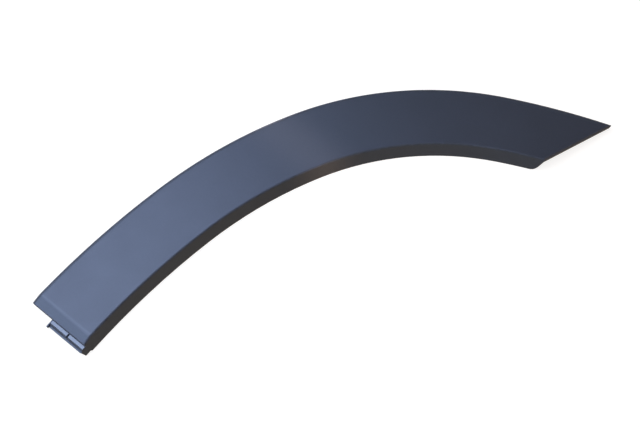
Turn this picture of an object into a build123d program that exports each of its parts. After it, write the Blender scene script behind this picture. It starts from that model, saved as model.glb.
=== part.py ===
from build123d import *
import os
from math import asin, atan, cos, degrees, radians, sin, sqrt, tan

# Crease between face and lip, seen from the front: tangent arcs to both sides of the apex
crown_radius = 363.4
crown_turn = 34.9
tail_radius = 858.4  # flatter run to the pointed end
tail_length = 52.8  # of that run, along the crease
shoulder_radius = 533.4
shoulder_turn = 16.3
leg_radius = 956.4  # flatter run to the tongue
leg_turn = 10.62

# Moulded section, the same all along
face_width = 76.6  # from the crease to the outer edge
crease_height = 20.2  # above the car body
edge_height = 10.4  # of the outer edge
lip_flare = 7.1  # lean of the lip towards the wheel
wall = 2.6
crease_round = 2.4
edge_round = 5.4

# Pointed end
rake = 46.25  # from square to the path
return_depth = 7.5  # of the edge that is folded back there
roll = 3.4  # rounding of its upper edge
heel = 4.0  # rounding of the lip's foot
flat_angles = (30.0, 60.0)  # of the flats that make up these roundings
tip_round = 1.5
tip_lift = 3.4  # of the outer side's foot at the tip
tip_slope = 12.0  # of that foot, up to the tip

# Square end, where the face bends down to the panel beside it
facet_length = 10.5
facet_angle = 17.0
facet_round = 6.0
end_lean = 6.5  # of the cut, under the face
end_round = 1.6

# Tongue that goes under the panel beside it
tongue_reach = 46.6  # from the crease, across the face
tongue_drop = 3.4  # below the end of the face
tongue_wall = 2.2
tongue_root = 6.0  # inside the trim
tongue_foot = 1.2  # above the car body
tongue_inset = 0.6  # of its lip, behind that of the trim
tongue_heel = 10.0  # lean of its lip's end
shelf_length = 3.6
step_length = 2.4
step_drop = 2.2
ledge_length = 1.7
ledge_drop = 0.5
slot_width = 2.2
slot_depth = 1.7
slot_offset = 21.6  # from the crease
gusset_wall = 1.3
gusset_overhang = 1.4

# Clip seats on the back
seat_count = 5
first_seat = -262.0  # along the crease, from the apex
last_seat = 206.0
seat_offset = 38.6  # from the crease
seat_length = 24.0
seat_width = 20.0
seat_wall = 2.0
seat_clearance = 1.5  # to the car body
clip_neck = 7.5

# Cross ribs on the back, between the seats
rib_wall = 1.6

fall = (crease_height - edge_height) / face_width
lean = lip_flare / crease_height
tilt = degrees(atan(fall))
crown_length = crown_radius * radians(crown_turn)
left_length = shoulder_radius * radians(shoulder_turn) + leg_radius * radians(leg_turn)
tail_run = tail_length + face_width * (tan(radians(rake)) + 1)
facet_drop = facet_length * tan(radians(facet_angle)) / cos(radians(tilt))
span = left_length + crown_length + tail_run  # longer than anything across the part
right_arcs = [(crown_radius, crown_turn), (tail_radius, degrees(tail_run / tail_radius))]
leg_run = leg_turn + degrees(facet_length / leg_radius)
left_arcs = [(shoulder_radius, shoulder_turn), (leg_radius, leg_run)]


# A step along an arc, as a move of the frame: X along the crease, Y away from the wheel, Z out of the car
def along(radius, turn):
    return Pos(0, -radius, 0) * Rot(0, 0, turn) * Pos(0, radius, 0)


# The frame on the crease at a distance from the apex, to the left if it is negative
def station(distance):
    arcs, side = (right_arcs, -1) if distance > 0 else (left_arcs, 1)
    place = Location()
    left_over = abs(distance)
    for radius, turn in arcs:
        step = min(left_over, radius * radians(turn))
        place = place * along(radius, side * degrees(step / radius))
        left_over -= step
    return place


# Distance of the lip from the crease at a height, set in from its outer side
def lip_at(height, inset):
    return inset / cos(atan(lean)) - lean * (crease_height - height)


# Outline of the section, with its sides and its top set in, down to a height
def section(sides, top, bottom):
    under = top / cos(atan(fall))
    inner = (lip_at(crease_height, sides) - lean * under) / (1 + lean * fall)
    outer = face_width - sides
    corners = [(lip_at(bottom, sides), bottom)]
    corners += [(r, crease_height - fall * r - under) for r in (inner, outer)]
    corners += [(outer, bottom)]
    return Plane.YZ * Polygon(*corners, align=None)


# The section swept along all the arcs
def sweep_section(profile):
    body = Part()
    for arcs, side in ((right_arcs, -1), (left_arcs, 1)):
        place = Location()
        for radius, turn in arcs:
            centre = (place * Pos(0, -radius, 0)).position
            body += revolve(place * profile, Axis(centre, (0, 0, side)), turn)
            place = place * along(radius, side * turn)
    return body


square_end = station(-left_length)
fold = station(facet_length - left_length) * Pos(0, 0, crease_height) * Rot(-tilt, -facet_angle, 0)
raked_end = station(crown_length + tail_length) * Rot(0, 0, -rake)


# What lies above the bent end of the face, and what lies past each end, each set in
def above_facet(inset):
    reach = 4 * facet_length
    return fold * Pos(0, 0, span / 2 - inset) * Box(2 * reach, 4 * face_width, span)


def past_rake(inset):
    return raked_end * Pos(span / 2 - inset, 0, 0) * Box(span, span, span)


def past_end(place, angle):
    return place * Rot(0, -angle, 0) * Pos(-span / 2, 0, 0) * Box(span, span, span)


# Upper edge of the raked end, and the foot of its lip, rounded in flats that touch an arc
def past_roll(angle):
    slope = degrees(atan(fall * cos(radians(rake))))
    centre = raked_end * Pos(0, 0, crease_height) * Rot(-slope, 0, 0) * Pos(-roll, 0, -roll)
    return centre * Rot(0, -angle, 0) * Pos(roll + span / 2, 0, 0) * Box(span, span, span)


def past_heel(angle):
    centre = raked_end * Pos(-heel, -lip_flare, heel) * Rot(0, angle, 0)
    return centre * Pos(heel + span / 2, 0, 0) * Box(span, 4 * lip_flare, span)


# Blunt tip: an arc tangent to the raked edge and to the outer side
def past_tip():
    across, down = tail_radius * sin(radians(rake)), tail_radius * cos(radians(rake))
    reach = tail_radius + face_width - tip_round
    middle = sqrt(reach ** 2 - (across + tip_round) ** 2) - down
    side = (-face_width * (across + tip_round) / reach, face_width * (middle + down) / reach)
    corner = Polygon((0, 0), (face_width, 0), (face_width, face_width), side, align=None)
    return raked_end * Pos(-tip_round, middle, 0) * extrude(corner - Circle(tip_round), span, both=True)


# Foot of the outer side, which rises to the tip
def under_tip():
    turn = rake - degrees(asin(tail_radius * sin(radians(rake)) / (tail_radius + face_width)))
    tip = station(crown_length + tail_length) * along(tail_radius, -turn) * Pos(0, face_width, tip_lift)
    foot = Box(2 * face_width, 4 * edge_round, face_width, align=(Align.CENTER, Align.CENTER, Align.MAX))
    return tip * Rot(0, -tip_slope, 0) * foot


# Outer skin: the fold is rounded first, so that crease and outer edge are rounded on past it
lap = square_end * Pos(0, 0, crease_height - facet_drop) * Rot(-tilt, 0, 0)
outside = sweep_section(section(0, 0, 0)) - above_facet(0)
facet = outside.faces().filter_by(GeomType.PLANE).sort_by(Axis.Z)[-1]
outside = fillet(facet.edges().filter_by(GeomType.LINE).sort_by(Axis.Z)[-1], facet_round)
outside = fillet(outside.edges().filter_by(GeomType.CIRCLE).group_by(Axis.Z)[-1], crease_round)
edge_arcs = outside.edges().filter_by(GeomType.CIRCLE)
outside = fillet(edge_arcs.filter_by_position(Axis.Z, edge_height - 0.1, edge_height + 0.1), edge_round)
outside = outside - past_end(lap, end_lean)
along_path = Axis(square_end.position, Plane(square_end).x_dir)
end_face = outside.faces().filter_by(GeomType.PLANE).sort_by(along_path)[0]
outside = fillet(end_face.edges().sort_by(Axis.Z)[1:], end_round)
outside = outside - past_rake(0) - past_tip() - under_tip()
for angle in flat_angles:
    outside = outside - past_roll(angle) - past_heel(angle)

# Hollow behind the skin, with a deeper one that runs out under the edge folded back at the pointed end
hollow = sweep_section(section(wall, wall, -wall)) - above_facet(wall) - past_rake(wall)
deep = sweep_section(section(wall, return_depth, -wall)) - above_facet(return_depth)
backing = sweep_section(section(wall / 2, wall / 2, 0)) - above_facet(wall / 2) - past_rake(wall / 2)
trim = outside - hollow - deep

# Clip seats: a plate with a slot for the neck of a clip, on two cheeks that reach up to the face
above = (Align.CENTER, Align.CENTER, Align.MIN)
neck = Pos(0, -seat_width / 2) * Rot(0, 0, 90) * SlotCenterToCenter(seat_width, clip_neck)
seat = Pos(0, 0, seat_clearance) * extrude(Rectangle(seat_length, seat_width) - neck, seat_wall)
for side in (-1, 1):
    cheek = Box(seat_wall, seat_width, crease_height, align=above)
    seat += Pos(side * (seat_length - seat_wall) / 2, 0, seat_clearance) * cheek
pitch = (last_seat - first_seat) / (seat_count - 1)
for i in range(seat_count):
    trim += station(first_seat + i * pitch) * Pos(0, seat_offset, 0) * seat & backing

# Cross ribs, as deep as the folded edge
for i in range(seat_count - 1):
    for share in (1 / 3, 2 / 3):
        rib = station(first_seat + (i + share) * pitch) * Box(rib_wall, 4 * face_width, 4 * crease_height)
        trim += (rib & backing) - deep

# Tongue: a shelf with a notch, a step and a ledge, in the plane of the face but lower
shelf_top = -tongue_drop
tongue_end = shelf_length + step_length + ledge_length
top = [(tongue_root, shelf_top), (-shelf_length, shelf_top)]
ledge_top = shelf_top - step_drop
top += [(-shelf_length - step_length, ledge_top), (-tongue_end, ledge_top - ledge_drop)]
outline = top + [(x, z - tongue_wall) for x, z in reversed(top)]
tongue_level = crease_height - facet_drop - tongue_drop
lip_side = lip_at(tongue_level, tongue_inset + tongue_wall / 2)
width = tongue_reach - lip_side
shelf = Pos(0, lip_side, 0) * extrude(Plane.XZ * Polygon(*outline, align=None), width, dir=(0, 1, 0))
notch = [(-slot_width / 2, 0), (slot_width / 2, 0), (0, -slot_depth)]
slot = extrude(Plane.YZ * Polygon(*notch, align=None), 2 * shelf_length, dir=(-1, 0, 0))
trim += lap * (shelf - Pos(0, slot_offset, shelf_top) * slot)

# Its step up to the face, its own stepped lip just behind that of the trim, and the gusset at its outer side
riser = Box(tongue_wall, width, crease_height, align=(Align.MAX, Align.MIN, Align.MIN))
trim += lap * Pos(tongue_root, lip_side, shelf_top - tongue_wall) * riser & backing
insets = (tongue_inset, tongue_inset + tongue_wall)
feet = [(lip_at(tongue_foot, inset), tongue_foot) for inset in insets]
heads = [(r, tongue_level - fall * r) for r in (lip_at(tongue_level, inset) for inset in insets)]
corners = [feet[0], heads[0], heads[1], feet[1]]
tongue_lip = extrude(Plane.YZ * Polygon(*corners, align=None), tongue_root + tongue_end, dir=(-1, 0, 0))
lip_end = square_end * Pos(-tongue_end, 0, tongue_level)
tongue_lip = square_end * Pos(tongue_root, 0, 0) * tongue_lip - past_end(lip_end, tongue_heel)
clear = [(-face_width, ledge_top - ledge_drop), (-face_width, 0), (-shelf_length, 0)]
over_step = extrude(Plane.XZ * Polygon(*top[1:], *clear, align=None), lip_flare, both=True)
trim += tongue_lip - lap * over_step
gusset_top = tongue_level - fall * tongue_reach
gusset_size = (tongue_root + tongue_end + gusset_overhang, gusset_wall, gusset_top - tongue_foot)
gusset = Box(*gusset_size, align=(Align.MAX, Align.MAX, Align.MIN))
trim += square_end * Pos(tongue_root, tongue_reach, tongue_foot) * gusset

# The part lies on the edges of lip and outer side, centred on its box
box = trim.bounding_box()
trim = Pos(-box.center().X, -box.center().Y, -box.min.Z) * trim

os.makedirs("parts", exist_ok=True)
export_step(trim, "parts/wheel_arch_trim.step")
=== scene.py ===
import bpy
import math
import numpy as np
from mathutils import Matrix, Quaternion, Vector

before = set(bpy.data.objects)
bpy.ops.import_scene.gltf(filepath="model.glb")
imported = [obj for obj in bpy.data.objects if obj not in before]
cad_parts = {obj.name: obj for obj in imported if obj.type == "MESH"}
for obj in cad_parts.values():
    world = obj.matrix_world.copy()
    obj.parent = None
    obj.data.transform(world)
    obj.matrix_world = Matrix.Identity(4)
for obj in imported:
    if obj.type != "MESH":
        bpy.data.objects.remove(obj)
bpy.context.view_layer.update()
scene = bpy.context.scene
scene.view_settings.view_transform = "Standard"
print("frame loaded:", sorted(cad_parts))


def newNode(tree, kind, **values):
    node = tree.nodes.new(kind)
    for name, value in values.items():
        setattr(node, name, value)
    return node


# plain values for a node's inputs, with _ for a space in an input's name
def setInputs(node, **values):
    for name, value in values.items():
        node.inputs[name.replace("_", " ")].default_value = value
    return node


# a link where the value is another node's output, the value itself where it is plain
def feed(tree, socket, value):
    if isinstance(value, bpy.types.NodeSocket):
        tree.links.new(value, socket)
    else:
        socket.default_value = value


def mathStep(tree, operation, first, second):
    node = newNode(tree, "ShaderNodeMath", operation=operation)
    feed(tree, node.inputs[0], first)
    feed(tree, node.inputs[1], second)
    return node.outputs[0]


def times(tree, first, second):
    return mathStep(tree, "MULTIPLY", first, second)


# the first value at share 0, the second at 1; kind is FLOAT for numbers, RGBA for colours
def mixed(tree, kind, share, first, second):
    node = newNode(tree, "ShaderNodeMix", data_type=kind)
    sockets = [socket for socket in node.inputs if socket.enabled]
    for socket, value in zip(sockets, (share, first, second)):
        feed(tree, socket, value)
    return next(socket for socket in node.outputs if socket.enabled)


# smooth step from 0 at the first bound to 1 at the second
def ramp(tree, value, bounds):
    node = newNode(tree, "ShaderNodeMapRange", interpolation_type="SMOOTHSTEP")
    setInputs(node, From_Min=bounds[0], From_Max=bounds[1])
    feed(tree, node.inputs["Value"], value)
    return node.outputs["Result"]


# 1 between two bounds and 0 outside them, with blurred ends
def within(tree, value, bounds, blur):
    low, high = bounds
    rising = ramp(tree, value, (low - blur, low + blur))
    falling = ramp(tree, value, (high + blur, high - blur))
    return times(tree, rising, falling)


# how far a point lies along a direction
def reachAlong(tree, coords, direction):
    node = newNode(tree, "ShaderNodeVectorMath", operation="DOT_PRODUCT")
    feed(tree, node.inputs[0], coords)
    feed(tree, node.inputs[1], direction)
    return node.outputs["Value"]


def noise(tree, coords, scale, detail, rough=0.5):
    node = newNode(tree, "ShaderNodeTexNoise")
    setInputs(node, Scale=scale, Detail=detail, Roughness=rough)
    feed(tree, node.inputs["Vector"], coords)
    return node.outputs["Fac"]


noiseRun = (0.3, 0.7)  # most of a noise's values lie between these


# a noise stretched evenly over centre - reach to centre + reach
def spreadAbout(tree, value, centre, reach):
    node = newNode(tree, "ShaderNodeMapRange")
    setInputs(node, From_Min=noiseRun[0], From_Max=noiseRun[1])
    setInputs(node, To_Min=centre - reach, To_Max=centre + reach)
    feed(tree, node.inputs["Value"], value)
    return node.outputs["Result"]


# noises are scale and detail; facings are bounds of the upward part of the normal, 1 on the level
trimLook = {
    "colour": (0.0375, 0.0363, 0.0358, 1),  # black-grey moulding compound
    "wearAndHighlightTint": (0.0550, 0.0542, 0.0533, 1),  # paler grey of rubbed edges, also used for the painted highlight line beside the fold
    "mottle": 0.10,  # share of the colour that varies
    "broadNoise": (7.0, 2.0),
    "fineNoise": (420.0, 3.0),
    "broadShare": 0.6,  # of the mottle, the fine noise has the rest
    "gloss": 0.833,  # strength of the surface reflection
    "roughness": 0.50,
    "roughnessSpread": 0.02,
    "finishNoise": (30.0, 5.0, 0.6),  # its own roughness last
    "sideRoughness": 0.80,  # coarser spark finish on the steep sides
    "sideFacing": (0.945, 0.84),
    "edgePolish": 0.08,  # roughness lost on the roundings
    "roundingFrom": (0.45, 0.60),  # facings where a rounding starts
    "roundingTo": (0.97, 0.86),  # and where it has run out
    "rubNoise": (140.0, 4.0),
    "rubRange": (0.35, 0.70),  # of that noise, from not rubbed to rubbed
    "grainCell": 0.0009,  # pebble size of the mould's texture, metres
    "grainSmooth": 0.6,
    "grainDepth": 0.00003,
    "speckleScale": 2.2,  # specks to a pebble
    "speckleDetail": 2.0,
    "speckleShare": 0.5,  # of the pebbles' height
    "tongueRoughness": 0.24,  # plain mould surface, with no grain
    "tongueAlong": (-0.8916, -0.4527, 0.0),  # the way the tongue points
    "tongueAcross": (-0.4527, 0.8916, 0.0),
    "shelf": (0.3174, 0.3212),  # the tongue's strips, along the first direction
    "tongueSides": (0.0741, 0.1210),  # and along the second
    "shelfBlur": 0.0002,
    "shelfFacing": (0.5, 0.6),
    "foldHighlight": (0.3033, 0.3053),  # painted highlight line beside the fold of the square end
    "foldHighlightBlur": 0.0012,
    "foldHighlightShare": 0.55,  # strength of the painted highlight, as a share of the polish that the roundings have
    "foldHighlightFacing": (0.90, 0.97),
    "paintedReflection": (0.42, 0.33, 0.25, 1),  # warm painted reflection over the middle of the arch
    "paintedReflectionAcross": (1.0, 0.40, 0.0),  # direction in which it fades
    "paintedReflectionPlace": (-0.012, 0.024),
    "paintedReflectionBlur": 0.036,
    "paintedReflectionShare": (0.105, 0.40),  # its strength on the face, and on the coarser lip
    "paintedReflectionFacing": (0.05, 0.25),  # none on what faces down
}


# moulded plastic on one mesh, its finishes told apart by facing and by place
# colour: grey, paler where rubbed and in a painted highlight line beside the fold, browner in a
# painted warm reflection across the arch, times a mottle of two noises
# roughness: a noise about one level, less where rubbed, more on steep sides, least on the strips
# bump: rounded cells plus a speckle, and none on the strips
def trimPlastic(look):
    material = bpy.data.materials.new("trimPlastic")
    material.use_nodes = True
    tree = material.node_tree
    shader = tree.nodes["Principled BSDF"]
    coords = newNode(tree, "ShaderNodeTexCoord").outputs["Object"]
    normal = newNode(tree, "ShaderNodeSeparateXYZ")
    feed(tree, normal.inputs[0], newNode(tree, "ShaderNodeNewGeometry").outputs["Normal"])
    upright = normal.outputs["Z"]

    # the tongue's two strips
    towardsEnd = reachAlong(tree, coords, look["tongueAlong"])
    outwards = reachAlong(tree, coords, look["tongueAcross"])
    onShelf = within(tree, towardsEnd, look["shelf"], look["shelfBlur"])
    onTongue = within(tree, outwards, look["tongueSides"], look["shelfBlur"])
    plain = times(tree, times(tree, onShelf, onTongue), ramp(tree, upright, look["shelfFacing"]))

    # polish in patches along the roundings, and a painted highlight line beside the fold
    starting = ramp(tree, upright, look["roundingFrom"])
    rounding = times(tree, starting, ramp(tree, upright, look["roundingTo"]))
    rubbed = ramp(tree, noise(tree, coords, *look["rubNoise"]), look["rubRange"])
    foldHighlightStrip = within(tree, towardsEnd, look["foldHighlight"], look["foldHighlightBlur"])
    foldHighlight = times(tree, foldHighlightStrip, ramp(tree, upright, look["foldHighlightFacing"]))
    foldHighlight = times(tree, foldHighlight, look["foldHighlightShare"])
    # the rubbed roundings are wear, and the line beside the fold is a painted highlight
    wearAndHighlight = mathStep(tree, "MAXIMUM", times(tree, rounding, rubbed), foldHighlight)

    # a painted warm reflection in a band across the arch, stronger on the lip
    sideways = ramp(tree, upright, look["sideFacing"])
    paintedReflectionReach = reachAlong(tree, coords, look["paintedReflectionAcross"])
    band = within(tree, paintedReflectionReach, look["paintedReflectionPlace"], look["paintedReflectionBlur"])
    paintedSheen = times(tree, band, mixed(tree, "FLOAT", sideways, *look["paintedReflectionShare"]))
    paintedSheen = times(tree, paintedSheen, ramp(tree, upright, look["paintedReflectionFacing"]))

    broad = noise(tree, coords, *look["broadNoise"])
    fine = noise(tree, coords, *look["fineNoise"])
    blend = mixed(tree, "FLOAT", look["broadShare"], fine, broad)
    # the grey turns paler under wear and under the painted fold highlight
    ground = mixed(tree, "RGBA", wearAndHighlight, look["colour"], look["wearAndHighlightTint"])
    # browner where the warm reflection is painted in
    withPaintedReflection = mixed(tree, "RGBA", paintedSheen, ground, look["paintedReflection"])
    toned = newNode(tree, "ShaderNodeVectorMath", operation="SCALE")
    feed(tree, toned.inputs[0], withPaintedReflection)
    feed(tree, toned.inputs["Scale"], spreadAbout(tree, blend, 1.0, look["mottle"]))
    feed(tree, shader.inputs["Base Color"], toned.outputs["Vector"])

    uneven = noise(tree, coords, *look["finishNoise"])
    uneven = spreadAbout(tree, uneven, look["roughness"], look["roughnessSpread"])
    worn = mathStep(tree, "SUBTRACT", uneven, times(tree, wearAndHighlight, look["edgePolish"]))
    steep = mixed(tree, "FLOAT", sideways, worn, look["sideRoughness"])
    finish = mixed(tree, "FLOAT", plain, steep, look["tongueRoughness"])
    feed(tree, shader.inputs["Roughness"], finish)

    cells = newNode(tree, "ShaderNodeTexVoronoi", feature="SMOOTH_F1")
    setInputs(cells, Scale=1 / look["grainCell"], Smoothness=look["grainSmooth"])
    feed(tree, cells.inputs["Vector"], coords)
    speckle = noise(tree, coords, look["speckleScale"] / look["grainCell"], look["speckleDetail"])
    speckle = times(tree, speckle, look["speckleShare"])
    grain = setInputs(newNode(tree, "ShaderNodeBump"), Distance=look["grainDepth"])
    feed(tree, grain.inputs["Strength"], mathStep(tree, "SUBTRACT", 1.0, plain))
    feed(tree, grain.inputs["Height"], mathStep(tree, "ADD", cells.outputs["Distance"], speckle))
    feed(tree, shader.inputs["Normal"], grain.outputs["Normal"])
    shader.inputs["Specular IOR Level"].default_value = look["gloss"]
    return material


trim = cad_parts["wheel_arch_trim"]
trim.data.materials.clear()
trim.data.materials.append(trimPlastic(trimLook))
print("trim finished:", len(trim.data.polygons), "faces")

studio = {
    "floorSize": 60.0,
    "floorHeight": -0.0003,  # just clear of the edges that the trim lies on
    "floorColour": (0.36, 0.29, 0.19, 1),
    "floorGlow": 0.85,  # to the camera and in reflections
    "hollowReach": 0.05,  # how far the floor looks for something over it
    "hollowSamples": 8,
    "hollowRange": (0.08, 0.40),  # how open a spot is, from no glow to all of it
    "worldColour": (0.078, 0.075, 0.072, 1),
}


# white floor: lit diffuse plus a glow that only camera, mirror and glass rays see
# the glow fades where the trim covers the floor, so the shadow stays
def floorPaper(look):
    material = bpy.data.materials.new("floorPaper")
    material.use_nodes = True
    tree = material.node_tree
    tree.nodes.clear()
    path = newNode(tree, "ShaderNodeLightPath").outputs
    seen = mathStep(tree, "MAXIMUM", path["Is Camera Ray"], path["Is Glossy Ray"])
    seen = mathStep(tree, "MAXIMUM", seen, path["Is Transmission Ray"])
    cover = newNode(tree, "ShaderNodeAmbientOcclusion", samples=look["hollowSamples"])
    setInputs(cover, Distance=look["hollowReach"])
    bare = ramp(tree, cover.outputs["AO"], look["hollowRange"])
    glow = newNode(tree, "ShaderNodeEmission")
    feed(tree, glow.inputs["Strength"], times(tree, times(tree, seen, look["floorGlow"]), bare))
    matte = setInputs(newNode(tree, "ShaderNodeBsdfDiffuse"), Color=look["floorColour"])
    both = newNode(tree, "ShaderNodeAddShader")
    feed(tree, both.inputs[0], matte.outputs[0])
    feed(tree, both.inputs[1], glow.outputs[0])
    output = newNode(tree, "ShaderNodeOutputMaterial")
    feed(tree, output.inputs["Surface"], both.outputs[0])
    return material


# a level square about the origin
corners = np.array([(-1, -1), (1, -1), (1, 1), (-1, 1)]) * studio["floorSize"] / 2
heights = np.full(len(corners), studio["floorHeight"])
floorMesh = bpy.data.meshes.new("floor")
floorMesh.from_pydata(np.column_stack((corners, heights)).tolist(), [], [(0, 1, 2, 3)])
floorMesh.materials.append(floorPaper(studio))
floor = bpy.data.objects.new("floor", floorMesh)
scene.collection.objects.link(floor)

scene.world = bpy.data.worlds.new("room")
scene.world.use_nodes = True
background = scene.world.node_tree.nodes["Background"]
setInputs(background, Color=studio["worldColour"], Strength=1.0)

lamps = {
    "sky": {"colour": (0.43, 0.57, 1.0), "power": 62.4, "size": (2.6, 1.6),
            "place": (-1.05, 0.47, 1.45), "aim": (-0.68, -0.31, 0.13)},  # in the face
    "window": {"colour": (0.68, 0.82, 1.0), "power": 4.38, "size": (0.6, 0.6),
               "place": (-0.54, 0.54, 1.42), "aim": (-0.25, 0.0, 0.0)},  # in the tongue
    "side": {"colour": (0.52, 0.82, 1.0), "power": 3.48, "size": (0.7, 0.7),
             "place": (-1.65, 0.40, 1.40), "aim": (-0.25, 0.0, 0.0)},  # in the bent end
    "front": {"colour": (1.0, 0.70, 0.46), "power": 6.0, "size": (1.0, 0.5),
              "place": (1.45, -1.05, 0.65), "aim": (-0.1, 0.0, 0.0)},  # on the lip
}

for lampName, lamp in lamps.items():
    lampData = bpy.data.lights.new(lampName, "AREA")
    lampData.shape = "RECTANGLE"
    lampData.color = lamp["colour"]
    lampData.energy = lamp["power"]
    lampData.size, lampData.size_y = lamp["size"]
    lampObject = bpy.data.objects.new(lampName, lampData)
    lampObject.location = lamp["place"]
    facing = Vector(lamp["aim"]) - lampObject.location
    lampObject.rotation_euler = facing.to_track_quat("-Z", "Y").to_euler()
    scene.collection.objects.link(lampObject)
print("floor, room and lamps in place")

shot = {
    "target": (-0.02184, -0.03641, 0.0),
    "distance": 1.0352,
    "azimuth": 38.6,  # degrees round from the -Y side towards -X
    "elevation": 70.25,
    "roll": 14.57,
    "lens": 50.625,
    "sensor": 36.0,
    "clip": (0.01, 200.0),
}

turn, rise = math.radians(shot["azimuth"]), math.radians(shot["elevation"])
level = math.cos(rise)
back = Vector((-math.sin(turn) * level, -math.cos(turn) * level, math.sin(rise)))
cameraData = bpy.data.cameras.new("camera")
cameraData.lens = shot["lens"]
cameraData.sensor_width = shot["sensor"]
cameraData.clip_start, cameraData.clip_end = shot["clip"]
camera = bpy.data.objects.new("camera", cameraData)
camera.location = Vector(shot["target"]) + back * shot["distance"]
camera.rotation_mode = "QUATERNION"
rolled = Quaternion((0, 0, 1), math.radians(shot["roll"]))
camera.rotation_quaternion = back.to_track_quat("Z", "Y") @ rolled
scene.collection.objects.link(camera)
scene.camera = camera
print("camera set")
